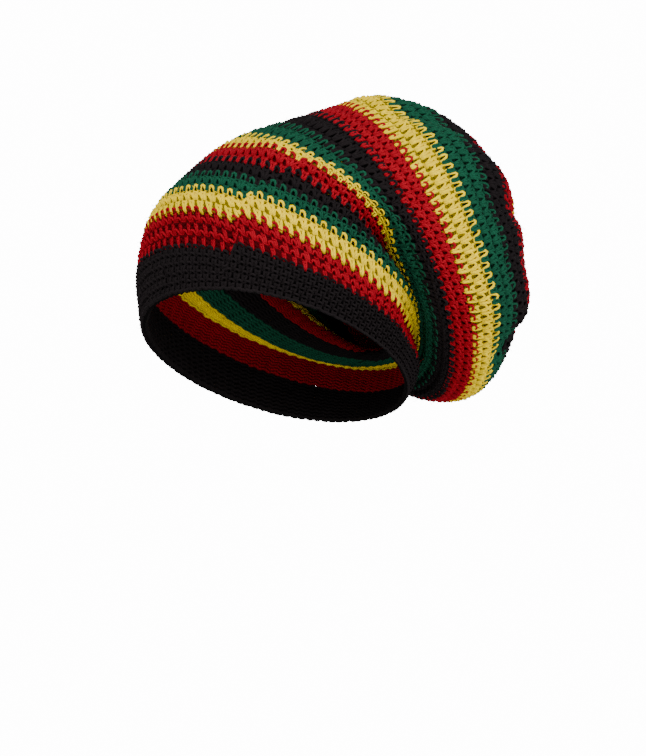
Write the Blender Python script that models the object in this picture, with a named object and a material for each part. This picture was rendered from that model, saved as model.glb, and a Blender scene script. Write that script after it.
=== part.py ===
"""A slouched tam, crocheted in the round in stripes of black, red, yellow and green.

The fabric is one surface, worked from the rim to the crown. A place on it has a ring, which counts
stripe edges from 0 at the rim to 17 at the crown's centre, and an angle, which is 0 at the front of
the rim and grows towards the wearer's left. Every stripe is a wall between two rings of that surface.
The hat's front faces -Y, the wearer's left is +X, and the origin is the centre of the head opening.
"""

import bmesh
import bpy
import numpy as np

# Driving sizes in metres
RIM_BREADTH = 0.176
RIM_LENGTH = 0.190
HAT_RISE = 0.180
TUCK_DEPTH = 0.024
FOLD_DEPTH = 0.008
BAND_WALL = 0.0036
STRIPE_WALL = 0.0030
STRIPE_GAP = 0.0005

# How finely the walls are faceted
LEFT_SEGMENTS = 34
RIGHT_SEGMENTS = 20

# How far apart two places are taken when the slope of the surface is measured between them
RINGS_APART = 0.45
DEGREES_APART = 4.0

# A fold's reach along the rim is counted in rings, each as wide as this many degrees
DEGREES_PER_RING = 12.0

COLLECTION = "rasta_tam"

# yarn: red, green, blue, roughness
YARNS = {
    "black": (0.012, 0.011, 0.012, 0.95),
    "red": (0.400, 0.010, 0.020, 0.90),
    "yellow": (0.900, 0.620, 0.040, 0.90),
    "green": (0.010, 0.110, 0.060, 0.90),
}

# name, yarn, facet rows, wall
STRIPES = (
    ("head_band", "black", 2, BAND_WALL),
    ("red_1", "red", 2, STRIPE_WALL),
    ("yellow_1", "yellow", 2, STRIPE_WALL),
    ("green_1", "green", 2, STRIPE_WALL),
    ("black_1", "black", 2, STRIPE_WALL),
    ("red_2", "red", 3, STRIPE_WALL),
    ("yellow_2", "yellow", 3, STRIPE_WALL),
    ("green_2", "green", 3, STRIPE_WALL),
    ("black_2", "black", 2, STRIPE_WALL),
    ("red_3", "red", 2, STRIPE_WALL),
    ("yellow_3", "yellow", 2, STRIPE_WALL),
    ("green_3", "green", 2, STRIPE_WALL),
    ("black_3", "black", 2, STRIPE_WALL),
    ("red_4", "red", 2, STRIPE_WALL),
    ("yellow_4", "yellow", 2, STRIPE_WALL),
    ("green_4", "green", 2, STRIPE_WALL),
    ("crown_centre", "black", 2, STRIPE_WALL),
)

# Each stripe edge is a slanted oval through a ridge point, at angle 0, and a belly point, at 180.
# x, left and right are shares of RIM_BREADTH, y of RIM_LENGTH, and z, left_drop and right_rise of
# HAT_RISE. heading turns the oval's sides about +Z, in degrees.
# ring, ridge x, y, z, belly x, y, z, heading, left, right, left_drop, right_rise
EDGES = (
    (0, 0.000, -0.500, 0.250, 0.000, 0.500, -0.250, 0, 0.500, 0.520, 0.010, 0.010),
    (1, 0.011, -0.511, 0.406, 0.000, 0.560, -0.135, 2, 0.540, 0.565, 0.055, 0.055),
    (2, -0.034, -0.489, 0.544, 0.011, 0.600, -0.050, 4, 0.545, 0.520, 0.074, 0.040),
    (3, -0.068, -0.442, 0.624, 0.045, 0.595, -0.033, 8, 0.550, 0.480, 0.036, 0.020),
    (4, -0.072, -0.384, 0.680, 0.110, 0.582, -0.012, 13, 0.545, 0.455, 0.024, 0.014),
    (5, -0.068, -0.310, 0.735, 0.170, 0.568, 0.000, 18, 0.540, 0.440, 0.016, 0.012),
    (6, -0.062, -0.222, 0.786, 0.225, 0.556, -0.015, 24, 0.545, 0.460, 0.010, 0.010),
    (7, -0.051, -0.132, 0.826, 0.273, 0.545, -0.060, 30, 0.555, 0.500, 0.004, 0.006),
    (8, 0.012, -0.032, 0.868, 0.315, 0.535, -0.115, 36, 0.570, 0.545, 0.000, 0.002),
    (9, 0.102, 0.089, 0.911, 0.358, 0.532, -0.161, 42, 0.590, 0.590, 0.000, 0.000),
    (10, 0.170, 0.211, 0.950, 0.437, 0.584, -0.172, 44, 0.614, 0.614, 0.000, 0.000),
    (11, 0.239, 0.326, 0.985, 0.489, 0.632, -0.156, 45, 0.630, 0.614, -0.020, -0.020),
    (12, 0.364, 0.421, 0.944, 0.523, 0.690, -0.111, 45, 0.590, 0.568, -0.060, -0.060),
    (13, 0.485, 0.511, 0.844, 0.560, 0.737, -0.011, 45, 0.489, 0.477, -0.066, -0.066),
    (14, 0.556, 0.580, 0.738, 0.590, 0.748, 0.120, 45, 0.352, 0.352, -0.050, -0.050),
    (15, 0.588, 0.634, 0.655, 0.598, 0.734, 0.242, 45, 0.246, 0.250, -0.034, -0.034),
    (16, 0.604, 0.668, 0.560, 0.602, 0.714, 0.354, 45, 0.130, 0.134, -0.018, -0.018),
    (17, 0.608, 0.692, 0.462, 0.608, 0.692, 0.462, 45, 0.000, 0.000, 0.000, 0.000),
)

# The deep tuck at the wearer's left, where the bag is drawn in over the head. depth is a share of
# TUCK_DEPTH, and the half width is counted in rings.
# angle, centre ring, half width, depth
TUCK = (
    (0, 5.80, 0.50, 0.00),
    (52, 5.80, 0.60, 0.00),
    (62, 5.85, 1.00, 0.08),
    (76, 5.95, 1.45, 0.55),
    (88, 6.00, 1.75, 0.92),
    (110, 5.80, 2.35, 1.00),
    (140, 5.80, 2.35, 0.92),
    (165, 6.10, 2.00, 0.50),
    (190, 6.30, 1.50, 0.00),
    (360, 5.80, 0.50, 0.00),
)

# Soft dents and, with a depth below 0, swells, each along a line from one place to another. depth is
# a share of FOLD_DEPTH, and the half width is counted in rings.
# from ring, from angle, to ring, to angle, half width, depth
FOLDS = (
    (1.7, 98, 2.3, 135, 0.80, 0.8),
    (5.9, 26, 6.6, 70, 1.05, -1.2),
    (11.2, 26, 13.4, 42, 0.75, 1.1),
    (12.5, 78, 14.2, 76, 0.85, 1.3),
    (12.4, 107, 13.4, 107, 0.80, 0.5),
    (11.4, 116, 12.4, 120, 1.20, -0.8),
    (12.7, 128, 13.6, 126, 0.50, -0.7),
    (11.5, 141, 13.8, 141, 0.35, 1.1),
)


def clear_scene():
    """Remove what the scene holds."""
    for obj in list(bpy.data.objects):
        bpy.data.objects.remove(obj, do_unlink=True)


def smooth_between(knots, values, at):
    """Read a smooth curve through values, given at knots, at other places."""
    slope = np.gradient(values, knots)
    low = np.clip(np.searchsorted(knots, at, side="right") - 1, 0, len(knots) - 2)
    span = knots[low + 1] - knots[low]
    t = (at - knots[low]) / span
    start = (2 * t**3 - 3 * t**2 + 1) * values[low] + (t**3 - 2 * t**2 + t) * span * slope[low]
    end = (3 * t**2 - 2 * t**3) * values[low + 1] + (t**3 - t**2) * span * slope[low + 1]
    return start + end


def tuck_depth(ring, angle):
    """How far the tuck draws the fabric in: flat-bottomed across the rings, easing out round the hat."""
    turn, centre, width, depth = np.array(TUCK, float).T
    around = angle % 360.0
    across = (ring - np.interp(around, turn, centre)) / np.interp(around, turn, width)
    return TUCK_DEPTH * np.interp(around, turn, depth) * np.exp(-(across**4))


def fold_depth(ring, angle):
    """How far the folds dent the fabric: a round trough along each fold's line."""
    total = np.zeros(np.shape(ring))
    for ring_a, angle_a, ring_b, angle_b, half_width, depth in FOLDS:
        up = ring - ring_a
        round_hat = ((angle - angle_a + 180.0) % 360.0 - 180.0) / DEGREES_PER_RING
        line_up = ring_b - ring_a
        line_round = (angle_b - angle_a) / DEGREES_PER_RING
        along = (up * line_up + round_hat * line_round) / (line_up**2 + line_round**2)
        along = np.clip(along, 0.0, 1.0)
        off_squared = (up - along * line_up) ** 2 + (round_hat - along * line_round) ** 2
        total = total + FOLD_DEPTH * depth * np.exp(-off_squared / half_width**2)
    return total


def surface(ring, angle):
    """Points of the hat's outer surface, in metres, at places given by ring and angle."""
    table = np.array(EDGES, float)
    columns = [smooth_between(table[:, 0], table[:, k], ring) for k in range(1, table.shape[1])]
    sizes = np.array([RIM_BREADTH, RIM_LENGTH, HAT_RISE])
    ridge = np.stack(columns[0:3], axis=-1) * sizes
    belly = np.stack(columns[3:6], axis=-1) * sizes
    heading, left, right, left_drop, right_rise = columns[6:11]
    turn = np.radians(angle)
    leftness = (1.0 + np.sin(turn)) / 2.0
    half = (right + (left - right) * leftness) * RIM_BREADTH
    drop = (right_rise + (left_drop - right_rise) * leftness) * HAT_RISE
    head = np.radians(heading)
    side = np.stack([np.cos(head) * half, -np.sin(head) * half, -drop], axis=-1)
    forward = (ridge - belly) / 2.0
    offset = forward * np.cos(turn)[..., None] + side * np.sin(turn)[..., None]
    length = np.linalg.norm(offset, axis=-1)
    inward = tuck_depth(ring, angle) + fold_depth(ring, angle)
    shrink = 1.0 - inward / np.maximum(length, inward + STRIPE_WALL)
    return (ridge + belly) / 2.0 + offset * shrink[..., None]


def slopes(ring, angle):
    """How the surface runs along the rings and round the hat at the given places."""
    last = float(len(STRIPES))
    above = np.minimum(ring + RINGS_APART, last)
    below = np.maximum(ring - RINGS_APART, 0.0)
    along = (surface(above, angle) - surface(below, angle)) / (above - below)[..., None]
    around = surface(ring, angle + DEGREES_APART) - surface(ring, angle - DEGREES_APART)
    return along, around


def outward(ring, angle):
    """Unit vectors square to the surface, pointing out of the hat."""
    along, around = slopes(ring, angle)
    square = np.cross(around, along)
    return square / np.linalg.norm(square, axis=-1, keepdims=True)


def around_hat():
    """Angles of the facets' corners, closer together at the wearer's left, where the tuck is."""
    left = np.linspace(0.0, 180.0, LEFT_SEGMENTS, endpoint=False)
    right = np.linspace(180.0, 360.0, RIGHT_SEGMENTS, endpoint=False)
    return np.concatenate([left, right])


def edge_place(edge, way):
    """Rings of a stripe's own edge, half the gap away from the shared one on the side given by way."""
    angle = around_hat()
    ring = np.full(angle.shape, float(edge))
    along, _ = slopes(ring, angle)
    return ring + way * (STRIPE_GAP / 2.0) / np.linalg.norm(along, axis=-1)


def stripe_sections(index, rows, wall):
    """Outer and inner points of a stripe, a row of points for each of its rings."""
    angle = around_hat()
    low = edge_place(index, 1.0)
    high = edge_place(index + 1, -1.0)
    share = np.linspace(0.0, 1.0, rows + 1)[:, None]
    ring = low + (high - low) * share
    turns = np.broadcast_to(angle, ring.shape)
    outer = surface(ring, turns)
    inner = outer - outward(ring, turns) * wall
    return outer, inner


def crown_sections(index, rows, wall):
    """Outer and inner points of the crown's centre, whose last row comes together in one point."""
    outer, inner = stripe_sections(index, rows, wall)
    angle = around_hat()
    top = surface(np.full(angle.shape, float(index + 1)), angle)
    outer[-1] = top.mean(axis=0)
    spread = inner[-2] - outer[-2]
    inner[-1] = outer[-1] + spread.mean(axis=0) / np.linalg.norm(spread.mean(axis=0)) * wall
    return outer, inner


def add_loop(mesh, points):
    """Add a row's corners, or one corner in all their places where the row has come together."""
    if np.ptp(points, axis=0).max() < STRIPE_GAP:
        return [mesh.verts.new(points.mean(axis=0))] * len(points)
    return [mesh.verts.new(point) for point in points]


def loft_round(outer, inner, is_ring):
    """Loft a wall round the hat, with its profile up the outer points and back down the inner ones.

    Facets of the two skins, and of two stripes' facing edges, are split along the same diagonals.
    """
    profile = np.concatenate([outer, inner[::-1]] if is_ring else [inner[::-1], outer])
    turning = len(outer) if is_ring else 0
    mesh = bmesh.new()
    loops = [add_loop(mesh, row) for row in profile]
    count = len(loops[0])
    for k, this_loop in enumerate(loops):
        next_loop = loops[(k + 1) % len(loops)]
        for j in range(count):
            here, there = this_loop[j], this_loop[(j + 1) % count]
            over_here, over_there = next_loop[j], next_loop[(j + 1) % count]
            if k < turning:
                facets = ((here, there, over_there), (here, over_there, over_here))
            else:
                facets = ((here, there, over_here), (there, over_there, over_here))
            for corners in facets:
                if len(set(corners)) == len(corners):
                    mesh.faces.new(corners)
    bmesh.ops.recalc_face_normals(mesh, faces=mesh.faces)
    return mesh


def yarn_material(yarn):
    """The knitted yarn of one colour."""
    name = yarn + "_yarn"
    if name in bpy.data.materials:
        return bpy.data.materials[name]
    red, green, blue, roughness = YARNS[yarn]
    material = bpy.data.materials.new(name)
    material.use_nodes = True
    shader = material.node_tree.nodes["Principled BSDF"]
    shader.inputs["Base Color"].default_value = (red, green, blue, 1.0)
    shader.inputs["Roughness"].default_value = roughness
    shader.inputs["Metallic"].default_value = 0.0
    return material


def add_object(name, mesh, yarn, collection):
    """Put a finished mesh in the collection as a named object of one yarn."""
    data = bpy.data.meshes.new(name)
    mesh.to_mesh(data)
    mesh.free()
    data.materials.append(yarn_material(yarn))
    data.shade_smooth()
    data.set_sharp_from_angle(angle=np.radians(50.0))
    obj = bpy.data.objects.new(name, data)
    collection.objects.link(obj)
    return obj


def build_hat():
    """Build every stripe of the hat from the rim to the crown."""
    collection = bpy.data.collections.new(COLLECTION)
    bpy.context.scene.collection.children.link(collection)
    last = len(STRIPES) - 1
    for index, (name, yarn, rows, wall) in enumerate(STRIPES):
        if index < last:
            outer, inner = stripe_sections(index, rows, wall)
        else:
            outer, inner = crown_sections(index, rows, wall)
        mesh = loft_round(outer, inner, is_ring=index < last)
        add_object(name, mesh, yarn, collection)


clear_scene()
build_hat()
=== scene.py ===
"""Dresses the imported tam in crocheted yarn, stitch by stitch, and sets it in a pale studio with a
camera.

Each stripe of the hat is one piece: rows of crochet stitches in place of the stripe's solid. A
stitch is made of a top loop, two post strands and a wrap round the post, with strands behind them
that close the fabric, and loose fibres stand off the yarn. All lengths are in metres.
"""

import logging
import math
from dataclasses import dataclass, field
from enum import Enum
from typing import Any

import bpy
import numpy as np
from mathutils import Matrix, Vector

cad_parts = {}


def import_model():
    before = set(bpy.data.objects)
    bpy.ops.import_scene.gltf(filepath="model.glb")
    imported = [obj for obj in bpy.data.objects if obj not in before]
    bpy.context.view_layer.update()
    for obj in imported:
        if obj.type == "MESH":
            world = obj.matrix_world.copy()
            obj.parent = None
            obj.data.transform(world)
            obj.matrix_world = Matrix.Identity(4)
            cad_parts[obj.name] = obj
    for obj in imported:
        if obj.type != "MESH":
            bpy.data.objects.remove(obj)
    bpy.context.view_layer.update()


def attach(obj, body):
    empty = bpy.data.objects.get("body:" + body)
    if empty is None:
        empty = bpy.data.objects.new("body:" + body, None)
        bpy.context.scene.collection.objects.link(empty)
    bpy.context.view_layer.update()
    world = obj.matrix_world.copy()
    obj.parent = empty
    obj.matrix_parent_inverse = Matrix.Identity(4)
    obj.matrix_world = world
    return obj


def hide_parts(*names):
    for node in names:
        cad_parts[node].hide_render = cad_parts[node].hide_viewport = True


LOG = logging.getLogger("tam")
MM = 0.001

# The hat's driving sizes, as the CAD has them
RIM_BREADTH = 0.176
RIM_LENGTH = 0.190
HAT_RISE = 0.180
TUCK_DEPTH = 0.024
FOLD_DEPTH = 0.008
DEGREES_PER_RING = 12.0
LAST_RING = 17

# How near an oval's middle the tuck and the folds may draw it
LEAST_REACH = 3.0 * MM

# The ring next to the crown's centre where the yarn ends
YARN_END = LAST_RING - 0.02

# The seam where each round ends, all in degrees: its angle at the rim, how far it leans in each
# ring, over what angle the step eases back, and over what angle it turns from low to high
SEAM_ANGLE = 1.0
SEAM_LEAN = 6.0
SEAM_REACH = 9.0
SEAM_TURN = 1.2

# The whole step of the rows at the seam, and the ring where it has evened out, both in rings
ROUND_STEP = 0.42
SEAM_TOP = 8.5

# A divisor's least size, where a direction has no length
TINY = 1e-12

# Seed of the first stripe's irregularities; each further stripe has the next one
FIRST_SEED = 100

# ring, ridge x, y, z, belly x, y, z, heading, left, right, left_drop, right_rise
EDGES = (
    (0, 0.000, -0.500, 0.250, 0.000, 0.500, -0.250, 0, 0.500, 0.520, 0.010, 0.010),
    (1, 0.011, -0.511, 0.406, 0.000, 0.560, -0.135, 2, 0.540, 0.565, 0.055, 0.055),
    (2, -0.034, -0.489, 0.544, 0.011, 0.600, -0.050, 4, 0.545, 0.520, 0.074, 0.040),
    (3, -0.068, -0.442, 0.624, 0.045, 0.595, -0.033, 8, 0.550, 0.480, 0.036, 0.020),
    (4, -0.072, -0.384, 0.680, 0.110, 0.582, -0.012, 13, 0.545, 0.455, 0.024, 0.014),
    (5, -0.068, -0.310, 0.735, 0.170, 0.568, 0.000, 18, 0.540, 0.440, 0.016, 0.012),
    (6, -0.062, -0.222, 0.786, 0.225, 0.556, -0.015, 24, 0.545, 0.460, 0.010, 0.010),
    (7, -0.051, -0.132, 0.826, 0.273, 0.545, -0.060, 30, 0.555, 0.500, 0.004, 0.006),
    (8, 0.012, -0.032, 0.868, 0.315, 0.535, -0.115, 36, 0.570, 0.545, 0.000, 0.002),
    (9, 0.102, 0.089, 0.911, 0.358, 0.532, -0.161, 42, 0.590, 0.590, 0.000, 0.000),
    (10, 0.170, 0.211, 0.950, 0.437, 0.584, -0.172, 44, 0.614, 0.614, 0.000, 0.000),
    (11, 0.239, 0.326, 0.985, 0.489, 0.632, -0.156, 45, 0.630, 0.614, -0.020, -0.020),
    (12, 0.364, 0.421, 0.944, 0.523, 0.690, -0.111, 45, 0.590, 0.568, -0.060, -0.060),
    (13, 0.485, 0.511, 0.844, 0.560, 0.737, -0.011, 45, 0.489, 0.477, -0.066, -0.066),
    (14, 0.556, 0.580, 0.738, 0.590, 0.748, 0.120, 45, 0.352, 0.352, -0.050, -0.050),
    (15, 0.588, 0.634, 0.655, 0.598, 0.734, 0.242, 45, 0.246, 0.250, -0.034, -0.034),
    (16, 0.604, 0.668, 0.560, 0.602, 0.714, 0.354, 45, 0.130, 0.134, -0.018, -0.018),
    (17, 0.608, 0.692, 0.462, 0.608, 0.692, 0.462, 45, 0.000, 0.000, 0.000, 0.000),
)

# angle, centre ring, half width, depth
TUCK = (
    (0, 5.80, 0.50, 0.00),
    (52, 5.80, 0.60, 0.00),
    (62, 5.85, 1.00, 0.08),
    (76, 5.95, 1.45, 0.55),
    (88, 6.00, 1.75, 0.92),
    (110, 5.80, 2.35, 1.00),
    (140, 5.80, 2.35, 0.92),
    (165, 6.10, 2.00, 0.50),
    (190, 6.30, 1.50, 0.00),
    (360, 5.80, 0.50, 0.00),
)

# from ring, from angle, to ring, to angle, half width, depth
FOLDS = (
    (1.7, 98, 2.3, 135, 0.80, 0.8),
    (5.9, 26, 6.6, 70, 1.05, -1.2),
    (11.2, 26, 13.4, 42, 0.75, 1.1),
    (12.5, 78, 14.2, 76, 0.85, 1.3),
    (12.4, 107, 13.4, 107, 0.80, 0.5),
    (11.4, 116, 12.4, 120, 1.20, -0.8),
    (12.7, 128, 13.6, 126, 0.50, -0.7),
    (11.5, 141, 13.8, 141, 0.35, 1.1),
)

Array = np.ndarray


class Stitch(Enum):
    """How a row is crocheted: short and dense, tall and closed, or tall with holes between."""

    DENSE = "dense"
    CLOSED = "closed"
    OPEN = "open"


@dataclass(frozen=True)
class StitchShape:
    """Proportions of one stitch. Widths are shares of its pitch and heights of its row.

    Attributes:
        loop_radius: Radius of the top loops' yarn, in metres.
        post_radius: Radius of the post's strands, in metres.
        loop_low: Height at which neighbouring top loops meet.
        loop_high: Height of a top loop's crown.
        loop_width: Half width of a top loop.
        post_foot: Height of the post's foot, below 0 where it reaches over the row before.
        foot_width: Half width between the post's strands at the foot.
        head_width: Half width between the post's strands at the head.
    """

    loop_radius: float
    post_radius: float
    loop_low: float
    loop_high: float
    loop_width: float
    post_foot: float
    foot_width: float
    head_width: float


SHAPES: dict[Stitch, StitchShape] = {
    Stitch.DENSE: StitchShape(0.95 * MM, 1.30 * MM, 0.80, 1.12, 0.27, -0.14, 0.12, 0.28),
    Stitch.CLOSED: StitchShape(0.88 * MM, 1.28 * MM, 0.80, 1.30, 0.24, -0.32, 0.06, 0.29),
    Stitch.OPEN: StitchShape(0.84 * MM, 0.84 * MM, 0.82, 1.18, 0.20, -0.26, 0.04, 0.15),
}

# A top loop's path after the dip between two stitches: places in half widths, heights in its own
LOOP_ACROSS = (-1.15, -1.05, -0.70, 0.0, 0.70, 1.05, 1.15)
LOOP_ARCH = (0.06, 0.50, 0.92, 1.06, 0.92, 0.50, 0.06)


@dataclass(frozen=True)
class StitchBuild:
    """How a stitch's strands lie, the same in every kind of stitch.

    Depths are heights over the fabric's outer surface. They are in metres, as bows, sink, twist and
    weave are. Other lengths are shares of the stitch's pitch or of its row's height.

    Attributes:
        loop_depth: Depth of a top loop's feet.
        loop_bow: How far a top loop's top stands out from its feet.
        post_depth: Depth of a post's foot.
        post_bow: How far a post bows out in its middle.
        post_roundness: Power of the bow's sine, below 1 for a full bow.
        post_sink: How much deeper a post's head is than its foot.
        post_twist: How far one strand of a post lies over the other, to either side.
        post_head: Height of a post's head.
        wrap_depth: Depth of a wrap's ends.
        wrap_bow: How far a wrap bows out over the post.
        wrap_start: Place of a wrap's first end.
        wrap_span: How far a wrap runs along the row.
        wrap_low: Height of a wrap's first end.
        wrap_rise: How far a wrap rises.
        wrap_lean: Share of the stitch's lean that a wrap follows.
        wrap_share: Share of the post's radius that a wrap has.
        backing_depth: Depth of the strands behind the posts.
        backing_weave: How far they weave in and out.
        backing_wave: How far they weave up and down.
        backing_low: Height of the first of them.
        backing_lift: Share of the stitch's lift that they follow.
        backing_share: Their radius, as a share of their spacing.
        lean: How far stitches lean on the whole, along the row.
        lean_spread: How much their leans differ.
        lift_spread: How much their heights differ.
        depth_spread: How much their depths differ, in metres.
    """

    loop_depth: float = -1.70 * MM
    loop_bow: float = 1.45 * MM
    post_depth: float = -1.90 * MM
    post_bow: float = 0.85 * MM
    post_roundness: float = 0.7
    post_sink: float = 0.30 * MM
    post_twist: float = 0.10 * MM
    post_head: float = 0.88
    wrap_depth: float = -1.70 * MM
    wrap_bow: float = 1.35 * MM
    wrap_start: float = -0.26
    wrap_span: float = 0.50
    wrap_low: float = 0.40
    wrap_rise: float = 0.26
    wrap_lean: float = 0.5
    wrap_share: float = 0.9
    backing_depth: float = -2.85 * MM
    backing_weave: float = 0.35 * MM
    backing_wave: float = 0.10
    backing_low: float = 0.05
    backing_lift: float = 0.5
    backing_share: float = 0.72
    lean: float = -0.03
    lean_spread: float = 0.05
    lift_spread: float = 0.04
    depth_spread: float = 0.18 * MM


# The rim's two finishing strands: the height of each in the first row, and its depth
EDGE_STRANDS = ((0.04, -0.9 * MM), (0.16, -2.4 * MM))

# Their points in each stitch, how far they rise and fall, and how much their heights differ
EDGE_POINTS = 4
EDGE_SCALLOP = 0.12
EDGE_SPREAD = 0.05


@dataclass(frozen=True)
class YarnFit:
    """How thick yarn is where it lies, and how much painted shade darkens its colour there.

    Attributes:
        full_room: A stitch's pitch or height at which its yarn has its full radius, in metres.
        thinnest: Least share of its radius that yarn has where the fabric is bunched.
        thickest: Most of it where the fabric is stretched.
        backing_least: Least radius of the strands behind the posts, in metres.
        start_taper: Share of its radius that a strand has at its first end.
        end_taper: Share of its radius that a strand has at its last end.
        dark_depth: How far under the outer surface the painted shade would make the yarn black, in
            metres.
        light_rise: How much further out the painted shade has faded to none, in metres.
        least_light: Share of its colour that the painted shade leaves on the deepest yarn.
        backing_light: How fast the painted shade on the strands behind fades from dark to none
            towards the inside.
    """

    full_room: float = 5.6 * MM
    thinnest: float = 0.50
    thickest: float = 1.12
    backing_least: float = 0.8 * MM
    start_taper: float = 0.40
    end_taper: float = 0.60
    dark_depth: float = 2.9 * MM
    light_rise: float = 2.3 * MM
    least_light: float = 0.20
    backing_light: float = 1.4


@dataclass(frozen=True)
class LooseFibres:
    """Single fibres that stand off the yarn, drawn thicker than real ones so that they show.

    Attributes:
        stitches_each: How many stitches have one fibre.
        points: How many points a fibre has.
        sides: How many sides it has.
        radius: Its radius, in metres.
        shortest: Its least length, in metres.
        longest: Its greatest length, in metres.
        root: Depth that it starts from, in metres.
        bow: How far it stands off, as a share of its length.
        margin: Share of the stripe's height that has none, at either edge.
        least_span: Least that a degree may span where its run is worked out, in metres.
    """

    stitches_each: int = 3
    points: int = 4
    sides: int = 3
    radius: float = 0.10 * MM
    shortest: float = 1.0 * MM
    longest: float = 3.2 * MM
    root: float = -0.6 * MM
    bow: float = 1.3
    margin: float = 0.05
    least_span: float = 0.1 * MM


@dataclass(frozen=True)
class Yarn:
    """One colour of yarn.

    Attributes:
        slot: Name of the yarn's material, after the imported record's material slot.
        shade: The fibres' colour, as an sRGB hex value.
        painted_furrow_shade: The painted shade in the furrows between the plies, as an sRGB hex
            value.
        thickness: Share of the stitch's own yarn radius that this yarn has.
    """

    slot: str
    shade: str
    painted_furrow_shade: str
    thickness: float


# Each yarn: its material, its fibres' colour, the painted shade in its ply furrows and its thickness
BLACK = Yarn("black_yarn", "#1C1819", "#161213", 1.05)
RED = Yarn("red_yarn", "#9C0F20", "#6C0812", 1.04)
YELLOW = Yarn("yellow_yarn", "#F2D400", "#D2B000", 0.98)
GREEN = Yarn("green_yarn", "#164E38", "#0C3626", 1.06)


@dataclass(frozen=True)
class Stripe:
    """One stripe of the hat, from its lower edge to the next stripe's.

    Attributes:
        node: The CAD node that the stripe's yarn replaces.
        yarn: The yarn that it is crocheted with.
        rows: How many rows it has.
        stitches: How many stitches go round it.
        kind: How its rows are crocheted.
    """

    node: str
    yarn: Yarn
    rows: int
    stitches: int
    kind: Stitch


STRIPES: tuple[Stripe, ...] = (
    Stripe("head_band", BLACK, 5, 104, Stitch.DENSE),
    Stripe("red_1", RED, 3, 84, Stitch.OPEN),
    Stripe("yellow_1", YELLOW, 2, 84, Stitch.CLOSED),
    Stripe("green_1", GREEN, 2, 84, Stitch.CLOSED),
    Stripe("black_1", BLACK, 2, 84, Stitch.CLOSED),
    Stripe("red_2", RED, 2, 84, Stitch.CLOSED),
    Stripe("yellow_2", YELLOW, 2, 84, Stitch.CLOSED),
    Stripe("green_2", GREEN, 2, 85, Stitch.CLOSED),
    Stripe("black_2", BLACK, 2, 87, Stitch.CLOSED),
    Stripe("red_3", RED, 3, 90, Stitch.CLOSED),
    Stripe("yellow_3", YELLOW, 2, 94, Stitch.CLOSED),
    Stripe("green_3", GREEN, 3, 94, Stitch.CLOSED),
    Stripe("black_3", BLACK, 3, 86, Stitch.CLOSED),
    Stripe("red_4", RED, 3, 68, Stitch.CLOSED),
    Stripe("yellow_4", YELLOW, 2, 50, Stitch.CLOSED),
    Stripe("green_4", GREEN, 2, 34, Stitch.CLOSED),
    Stripe("crown_centre", BLACK, 3, 16, Stitch.CLOSED),
)


def smooth_between(knots: Array, values: Array, at: Array) -> Array:
    """Read a smooth curve through given values at other places.

    Between two knots the curve is the cubic that has their values and slopes, and a knot's slope is
    taken from the knots beside it.

    Args:
        knots: Where the values stand, growing.
        values: The values there.
        at: The places to read.

    Returns:
        The curve's values at those places.
    """
    slope = np.gradient(values, knots)
    low = np.clip(np.searchsorted(knots, at, side="right") - 1, 0, len(knots) - 2)
    span = knots[low + 1] - knots[low]
    t = (at - knots[low]) / span
    start = (2 * t**3 - 3 * t**2 + 1) * values[low] + (t**3 - 2 * t**2 + t) * span * slope[low]
    end = (3 * t**2 - 2 * t**3) * values[low + 1] + (t**3 - t**2) * span * slope[low + 1]
    return start + end


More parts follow.
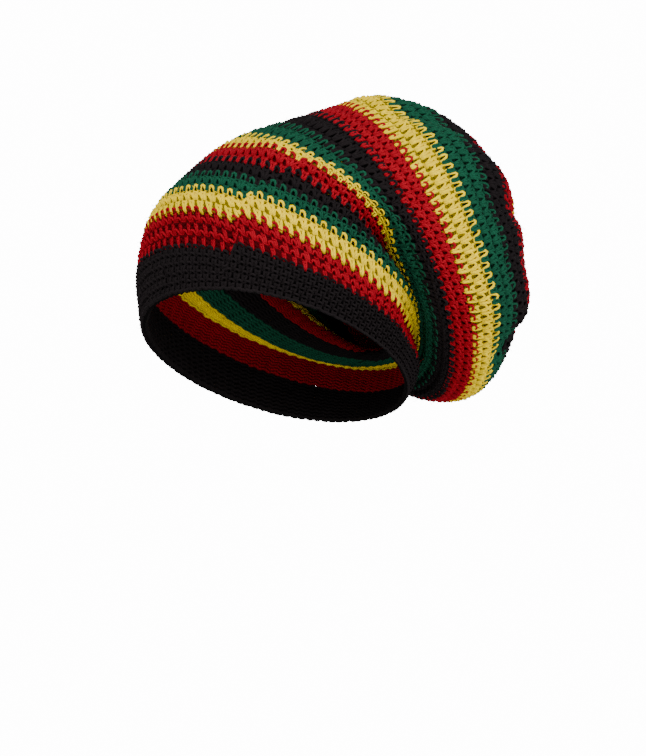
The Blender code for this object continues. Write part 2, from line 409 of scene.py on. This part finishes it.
@dataclass(frozen=True)
class Fabric:
    """The hat's outer surface, read by ring and angle as in the CAD.

    Attributes:
        ring_step: How far apart in rings two points are taken to measure a slope.
        angle_step: How far apart in degrees two points are taken to measure a slope.
    """

    ring_step: float = 0.30
    angle_step: float = 3.0

    def inward(self, ring: Array, angle: Array) -> Array:
        """Work out how far the tuck and the folds draw the fabric in.

        The tuck is a flat-bottomed groove across the rings, whose place, width and depth change
        round the hat. Each fold is a round trough along a line.

        Args:
            ring: Rings of the places.
            angle: Angles of the places, in degrees.

        Returns:
            The depths, in metres.
        """
        turn, centre, width, depth = np.array(TUCK, float).T
        around = angle % 360.0
        across = (ring - np.interp(around, turn, centre)) / np.interp(around, turn, width)
        total = TUCK_DEPTH * np.interp(around, turn, depth) * np.exp(-(across**4))
        for ring_a, angle_a, ring_b, angle_b, half_width, share in FOLDS:
            up = ring - ring_a
            round_hat = ((angle - angle_a + 180.0) % 360.0 - 180.0) / DEGREES_PER_RING
            line_up = ring_b - ring_a
            line_round = (angle_b - angle_a) / DEGREES_PER_RING
            along = (up * line_up + round_hat * line_round) / (line_up**2 + line_round**2)
            along = np.clip(along, 0.0, 1.0)
            off = (up - along * line_up) ** 2 + (round_hat - along * line_round) ** 2
            total = total + FOLD_DEPTH * share * np.exp(-off / half_width**2)
        return total

    def point(self, ring: Array, angle: Array) -> Array:
        """Find points of the surface.

        Each ring is a slanted oval through its ridge and belly points, widened to either side along
        its heading, and drawn towards its middle by the tuck and the folds.

        Args:
            ring: Rings of the places.
            angle: Angles of the places, in degrees.

        Returns:
            The points, with x, y and z along the last axis.
        """
        table = np.array(EDGES, float)
        columns = [smooth_between(table[:, 0], table[:, k], ring) for k in range(1, table.shape[1])]
        sizes = np.array([RIM_BREADTH, RIM_LENGTH, HAT_RISE])
        ridge = np.stack(columns[0:3], axis=-1) * sizes
        belly = np.stack(columns[3:6], axis=-1) * sizes
        heading, left, right, left_drop, right_rise = columns[6:11]
        turn = np.radians(angle)
        leftness = (1.0 + np.sin(turn)) / 2.0
        half = (right + (left - right) * leftness) * RIM_BREADTH
        drop = (right_rise + (left_drop - right_rise) * leftness) * HAT_RISE
        head = np.radians(heading)
        side = np.stack([np.cos(head) * half, -np.sin(head) * half, -drop], axis=-1)
        offset = (ridge - belly) / 2.0 * np.cos(turn)[..., None] + side * np.sin(turn)[..., None]
        inward = self.inward(ring, angle)
        length = np.linalg.norm(offset, axis=-1)
        shrink = 1.0 - inward / np.maximum(length, inward + LEAST_REACH)
        return (ridge + belly) / 2.0 + offset * shrink[..., None]

    def round_step(self, ring: Array, angle: Array) -> Array:
        """Work out how far the rows step where one round ends and the next one starts.

        The rows reach the seam low and leave it high, and ease back along the rim to either side:
        half the step, times the hyperbolic tangent of the angle from the seam over its turn, times
        e to minus that angle's size over the reach. The seam leans towards the wearer's left, and
        the step fades out in the ring next to the rim and in the ring below its top.

        Args:
            ring: Rings of the places.
            angle: Angles of the places, in degrees.

        Returns:
            The steps, in rings.
        """
        from_seam = (angle - (SEAM_ANGLE + SEAM_LEAN * ring) + 180.0) % 360.0 - 180.0
        eased = np.exp(-np.abs(from_seam) / SEAM_REACH)
        evened = np.clip(np.minimum(ring, SEAM_TOP - ring), 0.0, 1.0)
        return 0.5 * ROUND_STEP * np.tanh(from_seam / SEAM_TURN) * eased * evened

    def frame(self, ring: Array, angle: Array) -> tuple[Array, Array, Array]:
        """Measure the surface at some places.

        Args:
            ring: Rings of the places.
            angle: Angles of the places, in degrees.

        Returns:
            Unit vectors pointing out of the hat, the metres that one ring spans, and the metres
            that one degree spans.
        """
        above = np.minimum(ring + self.ring_step, LAST_RING)
        below = np.maximum(ring - self.ring_step, 0.0)
        along = (self.point(above, angle) - self.point(below, angle)) / (above - below)[..., None]
        after = self.point(ring, angle + self.angle_step)
        before = self.point(ring, angle - self.angle_step)
        around = (after - before) / (2.0 * self.angle_step)
        out = np.cross(around, along)
        out /= np.maximum(np.linalg.norm(out, axis=-1, keepdims=True), TINY)
        return out, np.linalg.norm(along, axis=-1), np.linalg.norm(around, axis=-1)


def side_turns(sides: int) -> Array:
    """List the angles of a tube's sides, where a quarter turn faces out of the hat.

    Args:
        sides: How many sides the tube has.

    Returns:
        The angles, in radians.
    """
    return np.arange(sides) * (2.0 * math.pi / sides)


@dataclass
class TubeMesh:
    """Gathers tubes and puts them in one mesh.

    Attributes:
        corners: Corners of the tubes so far.
        faces: Their faces, in arrays of faces with as many corners each.
        plies: For each corner, where it lies round its strand and how far along it.
        painted_light: For each corner, the share of its colour that the painted shade leaves, which
            stands for the light that reaches it.
        count: How many corners there are so far.
    """

    corners: list[Array] = field(default_factory=list)
    faces: list[Array] = field(default_factory=list)
    plies: list[Array] = field(default_factory=list)
    painted_light: list[Array] = field(default_factory=list)
    count: int = 0

    def add(self, centre: Array, out: Array, radius: Array, painted_light: Array, closed: bool) -> None:
        """Add many tubes at once.

        A tube's corner is its centre line's point plus the radius times a direction that turns
        round the line's tangent, and each face joins two neighbouring corners of one point to those
        of the next. One more face closes each end. A tube has as many sides as its painted light has
        values at each point.

        Args:
            centre: Centre lines, as strand, point and x, y, z.
            out: Directions out of the hat at those points.
            radius: The tubes' radii there.
            painted_light: Share of its colour that the painted shade leaves on each side there, as
                strand, point and side.
            closed: Whether each line runs on from its last point to its first.
        """
        if closed:
            tangent = np.roll(centre, -1, axis=1) - np.roll(centre, 1, axis=1)
        else:
            tangent = np.gradient(centre, axis=1)
        tangent /= np.linalg.norm(tangent, axis=-1, keepdims=True)
        across = np.cross(tangent, out)
        across /= np.maximum(np.linalg.norm(across, axis=-1, keepdims=True), TINY)
        over = np.cross(across, tangent)
        sides = painted_light.shape[-1]
        cosine = np.cos(side_turns(sides))
        sine = np.sin(side_turns(sides))
        ring = across[:, :, None, :] * cosine[:, None] + over[:, :, None, :] * sine[:, None]
        corners = centre[:, :, None, :] + ring * radius[:, :, None, None]
        strands, points = centre.shape[:2]
        lengths = np.linalg.norm(np.diff(centre, axis=1, prepend=centre[:, :1]), axis=-1)
        ply = np.empty(corners.shape)
        ply[..., 0] = cosine
        ply[..., 1] = sine
        ply[..., 2] = lengths.cumsum(axis=1)[:, :, None]
        index = np.arange(strands * points * sides).reshape(strands, points, sides)
        after = np.roll(index, -1, axis=1)
        beside = np.roll(index, -1, axis=2)
        across_after = np.roll(after, -1, axis=2)
        quads = np.stack([index, after, across_after, beside], axis=-1)
        if not closed:
            quads = quads[:, :-1]
            self.faces.append(np.concatenate([index[:, 0], index[:, -1, ::-1]]) + self.count)
        self.corners.append(corners.reshape(-1, 3))
        self.plies.append(ply.reshape(-1, 3))
        self.painted_light.append(painted_light.ravel())
        self.faces.append(quads.reshape(-1, 4) + self.count)
        self.count += strands * points * sides

    def build(self, name: str) -> bpy.types.Object:
        """Make the gathered tubes one object.

        Args:
            name: Name of the object.

        Returns:
            The object, at the origin.
        """
        corners = np.concatenate(self.corners).astype(np.float32)
        around = np.concatenate([faces.ravel() for faces in self.faces]).astype(np.int32)
        sizes = np.concatenate([np.full(len(faces), faces.shape[1]) for faces in self.faces])
        mesh = bpy.data.meshes.new(name)
        mesh.vertices.add(len(corners))
        mesh.vertices.foreach_set("co", corners.ravel())
        mesh.loops.add(len(around))
        mesh.loops.foreach_set("vertex_index", around)
        mesh.polygons.add(len(sizes))
        mesh.polygons.foreach_set("loop_start", (np.cumsum(sizes) - sizes).astype(np.int32))
        mesh.update(calc_edges=True)
        mesh.shade_smooth()
        ply = mesh.attributes.new("ply", "FLOAT_VECTOR", "POINT")
        ply.data.foreach_set("vector", np.concatenate(self.plies).astype(np.float32).ravel())
        painted_light = mesh.attributes.new("painted_light", "FLOAT", "POINT")
        painted_light.data.foreach_set("value", np.concatenate(self.painted_light).astype(np.float32))
        piece = bpy.data.objects.new(name, mesh)
        bpy.context.scene.collection.objects.link(piece)
        return piece


@dataclass
class StripeBuilder:
    """Crochets one stripe over the fabric.

    Attributes:
        fabric: The hat's surface.
        stripe: The stripe to crochet.
        low: Ring of its lower edge.
        seed: Seed of its small irregularities.
        rows_below: How many rows lie below it.
        post_points: How many points a post strand has.
        wrap_points: How many points the wrap round a post has.
        sides: How many sides a strand has.
        plain_sides: How many sides the wraps and the strands behind the posts have.
        strand_spacing: How far apart the strands behind the posts lie where there is room, in
            metres.
        spacing_slack: How much of one more strand a row may lack before it gets one.
        fit: How thick the yarn is, and how much painted shade darkens it.
        lie: How the strands of a stitch lie.
        fibres: The loose fibres.
    """

    fabric: Fabric
    stripe: Stripe
    low: float
    seed: int
    rows_below: int
    post_points: int = 5
    wrap_points: int = 3
    sides: int = 5
    plain_sides: int = 4
    strand_spacing: float = 3.2 * MM
    spacing_slack: float = 0.25
    fit: YarnFit = YarnFit()
    lie: StitchBuild = StitchBuild()
    fibres: LooseFibres = LooseFibres()

    def __post_init__(self) -> None:
        """Choose the stitch's shape, and how many strands behind the posts close a row."""
        self.shape = SHAPES[self.stripe.kind]
        self.tubes = TubeMesh()
        self.chance = np.random.default_rng(self.seed)
        around = np.arange(0.0, 360.0, 5.0)
        spans = self.fabric.frame(np.full(around.shape, self.low + 0.5), around)[1]
        tallest = float(spans.max()) / self.stripe.rows
        self.backing = max(2, math.ceil(tallest / self.strand_spacing - self.spacing_slack))

    def lay(
        self,
        row: int,
        cell: Array,
        a: Array,
        b: Array,
        c: Array,
        radius: float,
        closed: bool,
        behind: bool = False,
        plain: bool = False,
    ) -> None:
        """Lay strands of one row on the fabric.

        A point's ring is the row's own ring plus its height in the row, its angle is the stitch's
        own plus its share of the pitch, and it is moved out of the surface by its depth. The rows
        step up where a round ends and the next one starts. The yarn thins where the fabric is
        bunched, and the strands behind fill the row's height.

        Args:
            row: Number of the row.
            cell: Number of each strand's stitch.
            a: Places along the row, in pitches from the stitch's middle.
            b: Heights in the row, in rows.
            c: Heights over the fabric's outer surface, in metres.
            radius: Radius of the yarn, in metres, or for the strands behind as a share of their
                spacing.
            closed: Whether the strands run on from stitch to stitch.
            behind: Whether the strands lie behind the posts.
            plain: Whether the strands have the lesser number of sides.
        """
        share = 1.0 / self.stripe.rows
        ring = self.low + (row + b) * share
        angle = (cell[:, None] + self.shift(row) + a) * (360.0 / self.stripe.stitches)
        ring = np.clip(ring + self.fabric.round_step(ring, angle), 0.0, YARN_END)
        if closed:
            ring = ring.reshape(1, -1)
            angle = angle.reshape(1, -1)
            c = c.reshape(1, -1)
        out, ring_span, angle_span = self.fabric.frame(ring, angle)
        row_height = ring_span * share
        pitch = angle_span * 360.0 / self.stripe.stitches
        fit = self.fit
        if behind:
            thick = np.maximum(radius * row_height / self.backing, fit.backing_least)
        else:
            room = np.minimum(row_height, pitch) / fit.full_room
            thick = radius * self.stripe.yarn.thickness * np.clip(room, fit.thinnest, fit.thickest)
        centre = self.fabric.point(ring, angle) + out * c[..., None]
        if not closed:
            taper = np.ones(centre.shape[1])
            taper[0] = fit.start_taper
            taper[-1] = fit.end_taper
            thick = thick * taper
        sides = self.plain_sides if plain else self.sides
        # Painted shade: the yarn's colour is darkened by its depth between the stitches
        self.tubes.add(centre, out, thick, self.painted_light(c, thick, sides, behind), closed)

    def shift(self, row: int) -> float:
        """Say how far a row is shifted along the rim, in pitches: every other row by a half."""
        return 0.5 * ((self.rows_below + row) % 2)

    def painted_light(self, height: Array, radius: Array, sides: int, behind: bool) -> Array:
        """Work out the painted shade that darkens the yarn's colour between the stitches.

        The painted light falls off evenly with depth, from the posts' fronts to the wall's inside.
        The strands behind the posts are painted dark towards them, and have no painted shade inside
        the hat.

        Args:
            height: Heights of the strands over the fabric's outer surface, in metres.
            radius: Radii of the strands, in metres.
            sides: How many sides the strands have.
            behind: Whether they lie behind the posts.

        Returns:
            The shares of its colour that the painted shade leaves, as strand, point and side.
        """
        fit = self.fit
        outward = np.sin(side_turns(sides))
        if behind:
            share = np.broadcast_to(-fit.backing_light * outward, height.shape + outward.shape)
        else:
            surface = height[..., None] + radius[..., None] * outward
            share = (surface + fit.dark_depth) / fit.light_rise
        return np.clip(share, fit.least_light, 1.0)

    def add_row(self, row: int) -> None:
        """Crochet one row: its top loops, its posts, the wraps round them and the strands behind.

        A top loop runs level, then steeply up, over and down, from one dip between the stitches to
        the next. The post's two strands start side by side over the row before and spread to the
        loop's feet, like a V. The wrap crosses the post's front on a slant. The strands behind the
        posts weave up and down once a stitch, and there are enough of them to close the fabric.

        Args:
            row: Number of the row.
        """
        shape, lie = self.shape, self.lie
        count = self.stripe.stitches
        cell = np.arange(count)
        lean = self.chance.normal(0.0, lie.lean_spread, (count, 1)) + lie.lean
        lift = self.chance.normal(0.0, lie.lift_spread, (count, 1))
        depth = self.chance.normal(0.0, lie.depth_spread, (count, 1))

        across = np.array([-0.5 / shape.loop_width, *LOOP_ACROSS])
        arch = np.array([0.0, *LOOP_ARCH])
        a = across * shape.loop_width + lean * arch
        b = shape.loop_low + (shape.loop_high - shape.loop_low) * arch + lift * arch
        c = lie.loop_depth + lie.loop_bow * arch + depth * arch
        self.lay(row, cell, a, b, c, shape.loop_radius, closed=True)

        t = np.linspace(0.0, 1.0, self.post_points)
        height = shape.post_foot + (lie.post_head - shape.post_foot) * t
        width = shape.foot_width + (shape.head_width - shape.foot_width) * t
        bow = lie.post_bow * np.sin(math.pi * t) ** lie.post_roundness - lie.post_sink * t
        for side in (-1.0, 1.0):
            a = side * width + lean * height
            b = height + lift * t
            c = lie.post_depth + bow + side * lie.post_twist + depth
            self.lay(row, cell, a, b, c, shape.post_radius, closed=False)

        t = np.linspace(0.0, 1.0, self.wrap_points)
        a = lie.wrap_start + lie.wrap_span * t + lie.wrap_lean * lean
        b = lie.wrap_low + lie.wrap_rise * t + lift
        c = lie.wrap_depth + lie.wrap_bow * np.sin(math.pi * t) + depth
        self.lay(row, cell, a, b, c, lie.wrap_share * shape.post_radius, closed=False, plain=True)

        t = np.array([0.0, 0.5])
        wave = np.cos(2.0 * math.pi * (t + self.shift(row)))
        a = np.broadcast_to(t - 0.25, (count, 2))
        c = lie.backing_depth - lie.backing_weave * wave + depth
        for strand in range(self.backing):
            low = lie.backing_low + strand / self.backing
            b = low + lie.backing_wave * wave + lie.backing_lift * lift
            self.lay(row, cell, a, b, c, lie.backing_share, closed=True, behind=True, plain=True)

    def add_edge(self) -> None:
        """Finish the rim with two strands in small scallops, one inside the other."""
        cell = np.arange(self.stripe.stitches)
        t = np.arange(EDGE_POINTS) / EDGE_POINTS
        scallop = EDGE_SCALLOP * np.cos(2.0 * math.pi * t)
        a = np.broadcast_to(t - 0.5, (len(cell), EDGE_POINTS))
        for height, depth in EDGE_STRANDS:
            b = height - scallop + self.chance.normal(0.0, EDGE_SPREAD, (len(cell), 1))
            c = np.full(a.shape, depth)
            self.lay(0, cell, a, b, c, self.shape.post_radius, closed=True)

    def add_fibres(self) -> None:
        """Let single fibres stand off the yarn, each in a small bow from where it is caught.

        A fibre runs straight over the fabric from its root, and its height is its bow times its
        length times the sine of a growing angle, up to a quarter turn at its tip.
        """
        fibres = self.fibres
        count = self.stripe.stitches * self.stripe.rows // fibres.stitches_each
        ring = self.low + self.chance.uniform(fibres.margin, 1.0 - fibres.margin, (count, 1))
        angle = self.chance.uniform(0.0, 360.0, (count, 1))
        lean = self.chance.normal(0.0, 1.0, (2, count, 1))
        length = self.chance.uniform(fibres.shortest, fibres.longest, (count, 1))
        ring_span, angle_span = self.fabric.frame(ring, angle)[1:]
        t = np.linspace(0.0, 1.0, fibres.points)
        ring = np.clip(ring + lean[0] * length * t / ring_span, 0.0, YARN_END)
        angle = angle + lean[1] * length * t / np.maximum(angle_span, fibres.least_span)
        out = self.fabric.frame(ring, angle)[0]
        height = fibres.root + fibres.bow * length * np.sin(0.5 * math.pi * t)
        centre = self.fabric.point(ring, angle) + out * height[..., None]
        thick = np.full(ring.shape, fibres.radius)
        # The loose fibres get no painted shade
        light = np.ones((*ring.shape, fibres.sides))
        self.tubes.add(centre, out, thick, light, closed=False)

    def build(self) -> bpy.types.Object:
        """Crochet the whole stripe.

        Returns:
            The stripe's yarn as one object.
        """
        if self.low == 0.0:
            self.add_edge()
        for row in range(self.stripe.rows):
            self.add_row(row)
        self.add_fibres()
        return self.tubes.build("yarn_" + self.stripe.node)


def linear(shade: str) -> tuple[float, float, float, float]:
    """Turn an sRGB hex colour into the linear values that shaders take.

    Args:
        shade: The colour, such as "#FFDD3C".

    Returns:
        Red, green, blue and alpha.
    """
    parts = [int(shade[k : k + 2], 16) / 255.0 for k in (1, 3, 5)]
    red, green, blue = [
        v / 12.92 if v <= 0.04045 else ((v + 0.055) / 1.055) ** 2.4 for v in parts
    ]
    return red, green, blue, 1.0


def add_node(tree: bpy.types.NodeTree, kind: str, links: dict[Any, Any], **settings: Any) -> Any:
    """Add one shader node.

    Args:
        tree: The material's node tree.
        kind: The node's type.
        links: What goes in each input, by its name or number: a value, or another node's output.
        **settings: The node's own settings.

    Returns:
        The node.
    """
    node = tree.nodes.new(kind)
    for name, value in settings.items():
        setattr(node, name, value)
    for key, value in links.items():
        if isinstance(value, bpy.types.NodeSocket):
            tree.links.new(value, node.inputs[key])
        else:
            node.inputs[key].default_value = value
    return node


# Spun acrylic in the light: the fibre's own refractive index, and next to no gloss or sheen
YARN_FINISH = {
    "Roughness": 0.82,
    "IOR": 1.49,
    "Specular IOR Level": 0.04,
    "Sheen Weight": 0.02,
    "Sheen Roughness": 0.5,
}


@dataclass(frozen=True)
class AcrylicYarn:
    """Spun acrylic yarn: three soft plies twisted together, matt, with a haze of loose fibres.

    The mottling is coarser than the fibres themselves, which are too fine to show.

    Attributes:
        yarn: The yarn's colours.
        plies: How many plies are twisted together.
        lay: Length along the yarn in which a ply goes once round it, in metres.
        fibre: Size of the mottling that the fibres make, in metres.
        patch: Size of the patches that are a little lighter or darker, in metres.
        patch_noise: The noise values between which the patches go from darkest to lightest.
        patch_light: Brightness of the darkest patches and of the lightest.
        ply_share: Share of the fibres' colour in the furrows between the plies; the rest is painted
            shade.
        ply_height: How high the plies stand against the mottling.
        bump: Height of the relief that plies and mottling make, in metres.
        bump_strength: How strongly it turns the light.
    """

    yarn: Yarn
    plies: int = 3
    lay: float = 7.0 * MM
    fibre: float = 0.5 * MM
    patch: float = 9.0 * MM
    patch_noise: tuple[float, float] = (0.3, 0.7)
    patch_light: tuple[float, float] = (0.90, 1.08)
    ply_share: float = 0.35
    ply_height: float = 0.5
    bump: float = 0.16 * MM
    bump_strength: float = 0.7

    def build(self) -> bpy.types.Material:
        """Make the material.

        The plies' height is the sine of their number times an angle, which is the angle round the
        strand plus a full turn for each lay along it. The mottling's noise is added to it. Where the
        height is low, the colour turns towards painted shade in the furrows, mottled at random by
        the noise.

        Returns:
            The material.
        """
        material = bpy.data.materials.new(self.yarn.slot)
        material.use_nodes = True
        tree = material.node_tree
        shader = tree.nodes["Principled BSDF"]
        ply = add_node(tree, "ShaderNodeAttribute", {}, attribute_name="ply")
        parts = add_node(tree, "ShaderNodeSeparateXYZ", {0: ply.outputs["Vector"]})
        cosine, sine, run = parts.outputs
        turn = add_node(tree, "ShaderNodeMath", {0: sine, 1: cosine}, operation="ARCTAN2")
        twist = add_node(
            tree,
            "ShaderNodeMath",
            {0: run, 1: 2.0 * math.pi / self.lay, 2: turn.outputs[0]},
            operation="MULTIPLY_ADD",
        )
        phase = add_node(
            tree,
            "ShaderNodeMath",
            {0: twist.outputs[0], 1: float(self.plies)},
            operation="MULTIPLY",
        )
        wave = add_node(tree, "ShaderNodeMath", {0: phase.outputs[0]}, operation="SINE")
        place = add_node(tree, "ShaderNodeTexCoord", {}).outputs["Object"]
        mottling = add_node(
            tree,
            "ShaderNodeTexNoise",
            {"Vector": place, "Scale": 1.0 / self.fibre, "Detail": 2.0},
        )
        patches = add_node(
            tree,
            "ShaderNodeTexNoise",
            {"Vector": place, "Scale": 1.0 / self.patch, "Detail": 1.0},
        )
        height = add_node(
            tree,
            "ShaderNodeMath",
            {0: wave.outputs[0], 1: self.ply_height, 2: mottling.outputs["Fac"]},
            operation="MULTIPLY_ADD",
        )
        # Colour: painted shade in the furrows between the plies, and random mottling from the noise
        share = add_node(
            tree,
            "ShaderNodeMapRange",
            {0: height.outputs[0], 1: 0.0, 2: 1.0, 3: self.ply_share, 4: 1.0},
        )
        colour = add_node(
            tree,
            "ShaderNodeMix",
            {0: share.outputs[0], 6: linear(self.yarn.painted_furrow_shade), 7: linear(self.yarn.shade)},
            data_type="RGBA",
        )
        worn = add_node(
            tree,
            "ShaderNodeMapRange",
            {
                0: patches.outputs["Fac"],
                1: self.patch_noise[0],
                2: self.patch_noise[1],
                3: self.patch_light[0],
                4: self.patch_light[1],
            },
        )
        # Painted shade between the stitches: the mesh's attribute darkens the colour with depth
        painted_light = add_node(tree, "ShaderNodeAttribute", {}, attribute_name="painted_light")
        value = add_node(
            tree,
            "ShaderNodeMath",
            {0: worn.outputs[0], 1: painted_light.outputs["Fac"]},
            operation="MULTIPLY",
        )
        shaded = add_node(
            tree,
            "ShaderNodeHueSaturation",
            {"Color": colour.outputs[2], "Value": value.outputs[0]},
        )
        bump = add_node(
            tree,
            "ShaderNodeBump",
            {
                "Height": height.outputs[0],
                "Distance": self.bump,
                "Strength": self.bump_strength,
            },
        )
        tree.links.new(shaded.outputs[0], shader.inputs["Base Color"])
        tree.links.new(bump.outputs[0], shader.inputs["Normal"])
        for name, setting in YARN_FINISH.items():
            shader.inputs[name].default_value = setting
        shader.inputs["Sheen Tint"].default_value = linear(self.yarn.shade)
        return material


@dataclass
class Tam:
    """The whole hat.

    Attributes:
        fabric: Its surface.
    """

    fabric: Fabric = field(default_factory=Fabric)

    def build(self) -> list[bpy.types.Object]:
        """Crochet every stripe and put it in place of its CAD node.

        Returns:
            The stripes' yarn.
        """
        materials = {yarn.slot: AcrylicYarn(yarn).build() for yarn in (BLACK, RED, YELLOW, GREEN)}
        made = []
        rows_below = 0
        for index, stripe in enumerate(STRIPES):
            seed = FIRST_SEED + index
            piece = StripeBuilder(self.fabric, stripe, float(index), seed, rows_below).build()
            rows_below += stripe.rows
            piece.data.materials.append(materials[stripe.yarn.slot])
            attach(piece, "root")
            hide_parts(stripe.node)
            LOG.info("%s: %d faces", piece.name, len(piece.data.polygons))
            made.append(piece)
        return made


@dataclass(frozen=True)
class SoftLight:
    """A square soft light that faces the hat.

    Attributes:
        name: Its name.
        azimuth: Its azimuth, from the front towards the wearer's left, in degrees.
        elevation: Its elevation, in degrees.
        size: Side of its face, in metres.
        watts: Its power.
    """

    name: str
    azimuth: float
    elevation: float
    size: float
    watts: float


LIGHTS: tuple[SoftLight, ...] = (
    SoftLight("key_light", -5.0, 38.0, 1.2, 45.0),
    SoftLight("fill_light", 85.0, 8.0, 1.6, 42.0),
    SoftLight("low_light", 25.0, -35.0, 2.0, 14.0),
    SoftLight("back_light", 200.0, 30.0, 2.0, 22.0),
)

WHITE = (1.0, 1.0, 1.0, 1.0)


def plain_material(name: str, shade: str, roughness: float, glow: float) -> bpy.types.Material:
    """Make a matt material of one colour.

    Args:
        name: Name of the material.
        shade: Its colour, as an sRGB hex value.
        roughness: Its roughness.
        glow: Strength of the white light that it gives off.

    Returns:
        The material.
    """
    material = bpy.data.materials.new(name)
    material.use_nodes = True
    shader = material.node_tree.nodes["Principled BSDF"]
    shader.inputs["Base Color"].default_value = linear(shade)
    shader.inputs["Roughness"].default_value = roughness
    shader.inputs["Emission Color"].default_value = WHITE
    shader.inputs["Emission Strength"].default_value = glow
    return material


@dataclass
class Studio:
    """A pale studio with soft light and a white backdrop, and the camera at the photograph's angle.

    Attributes:
        azimuth: The camera's azimuth, in degrees.
        distance: From the camera to the hat, in metres.
        pixels_per_metre: Scale of the picture at the hat.
        width: The picture's width, in pixels.
        height: The picture's height, in pixels.
        origin_column: Column of the picture that the rim's centre falls in.
        origin_row: Row of the picture that the rim's centre falls in.
        sensor: Width of the camera's sensor, in millimetres.
        sight: How far the camera sees, in metres.
        card: Side of the square backdrop, in metres.
        card_distance: From the hat to the backdrop, far enough to stay behind other views.
        card_glow: Strength of the white light that the backdrop gives off.
        floor_side: Side of the square floor, in metres.
        floor_drop: From the hat down to the floor, which lies below the picture.
        light_distance: From the hat to each light, in metres.
        surroundings: Strength of the white light from all round.
    """

    azimuth: float = 25.0
    distance: float = 6.0
    pixels_per_metre: float = 1480.0
    width: int = 646
    height: int = 756
    origin_column: float = 277.0
    origin_row: float = 356.0
    sensor: float = 36.0
    sight: float = 50.0
    card: float = 2.6
    card_distance: float = 7.5
    card_glow: float = 14.0
    floor_side: float = 1.4
    floor_drop: float = 1.2
    light_distance: float = 2.0
    surroundings: float = 0.45

    def __post_init__(self) -> None:
        """Work out which ways the camera's right, its back and up are."""
        turn = math.radians(self.azimuth)
        self.right = Vector((math.cos(turn), math.sin(turn), 0.0))
        self.back = Vector((math.sin(turn), -math.cos(turn), 0.0))
        self.up = Vector((0.0, 0.0, 1.0))

    def camera(self) -> bpy.types.Object:
        """Set up the camera.

        Returns:
            The camera, set as the scene's own.
        """
        across = (self.width / 2.0 - self.origin_column) / self.pixels_per_metre
        rise = (self.origin_row - self.height / 2.0) / self.pixels_per_metre
        target = self.right * across + self.up * rise
        data = bpy.data.cameras.new("camera")
        data.sensor_width = self.sensor
        data.lens = self.sensor * self.distance / (self.height / self.pixels_per_metre)
        data.clip_end = self.sight
        data.dof.use_dof = False
        camera = bpy.data.objects.new("camera", data)
        camera.location = target + self.back * self.distance
        camera.rotation_euler = (-self.back).to_track_quat("-Z", "Y").to_euler()
        bpy.context.scene.collection.objects.link(camera)
        bpy.context.scene.camera = camera
        return camera

    def plate(
        self, name: str, middle: Vector, right: Vector, up: Vector, material: bpy.types.Material
    ) -> bpy.types.Object:
        """Set up a flat plate, such as the backdrop or the floor.

        Args:
            name: Name of the plate.
            middle: Its middle.
            right: From its middle to the middle of its right edge.
            up: From its middle to the middle of its upper edge.
            material: Its material.

        Returns:
            The plate.
        """
        signs = ((-1.0, -1.0), (1.0, -1.0), (1.0, 1.0), (-1.0, 1.0))
        corners = [tuple(middle + right * s + up * v) for s, v in signs]
        mesh = bpy.data.meshes.new(name)
        mesh.from_pydata(corners, [], [(0, 1, 2, 3)])
        mesh.materials.append(material)
        plate = bpy.data.objects.new(name, mesh)
        bpy.context.scene.collection.objects.link(plate)
        return plate

    def backdrop(self) -> bpy.types.Object:
        """Hang a white, lit card far behind the hat, square to the camera.

        Returns:
            The card.
        """
        half = self.card / 2.0
        paper = plain_material("lit_card", "#F7F7F7", roughness=0.9, glow=self.card_glow)
        middle = -self.back * self.card_distance
        return self.plate("backdrop", middle, self.right * half, self.up * half, paper)

    def floor(self) -> bpy.types.Object:
        """Lay a plain pale floor well below the hat.

        Views from up to 40 degrees below pass its edge. Steeper ones see the floor's underside in
        front of the hat.

        Returns:
            The floor.
        """
        half = self.floor_side / 2.0
        paint = plain_material("matt_floor_paint", "#E6E5E2", roughness=0.8, glow=0.0)
        middle = -self.up * self.floor_drop
        right = Vector((half, 0.0, 0.0))
        up = Vector((0.0, half, 0.0))
        return self.plate("floor", middle, right, up, paint)

    def hang(self, light: SoftLight) -> None:
        """Hang one light, facing the hat.

        Args:
            light: The light.
        """
        a, e = math.radians(light.azimuth), math.radians(light.elevation)
        back = Vector((math.sin(a) * math.cos(e), -math.cos(a) * math.cos(e), math.sin(e)))
        data = bpy.data.lights.new(light.name, "AREA")
        data.size = light.size
        data.energy = light.watts
        lamp = bpy.data.objects.new(light.name, data)
        lamp.location = back * self.light_distance
        lamp.rotation_euler = (-back).to_track_quat("-Z", "Y").to_euler()
        bpy.context.scene.collection.objects.link(lamp)

    def build(self) -> None:
        """Set up the backdrop, the floor, the lights, the white surroundings and the camera."""
        self.backdrop()
        self.floor()
        for light in LIGHTS:
            self.hang(light)
        world = bpy.data.worlds.new("studio")
        world.use_nodes = True
        background = world.node_tree.nodes["Background"]
        background.inputs["Color"].default_value = WHITE
        background.inputs["Strength"].default_value = self.surroundings
        bpy.context.scene.world = world
        self.camera()


def main() -> None:
    """Load the frame, dress the hat and set up the studio."""
    logging.basicConfig(level=logging.INFO, format="%(name)s: %(message)s")
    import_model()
    Tam().build()
    Studio().build()


if __name__ == "__main__":
    main()
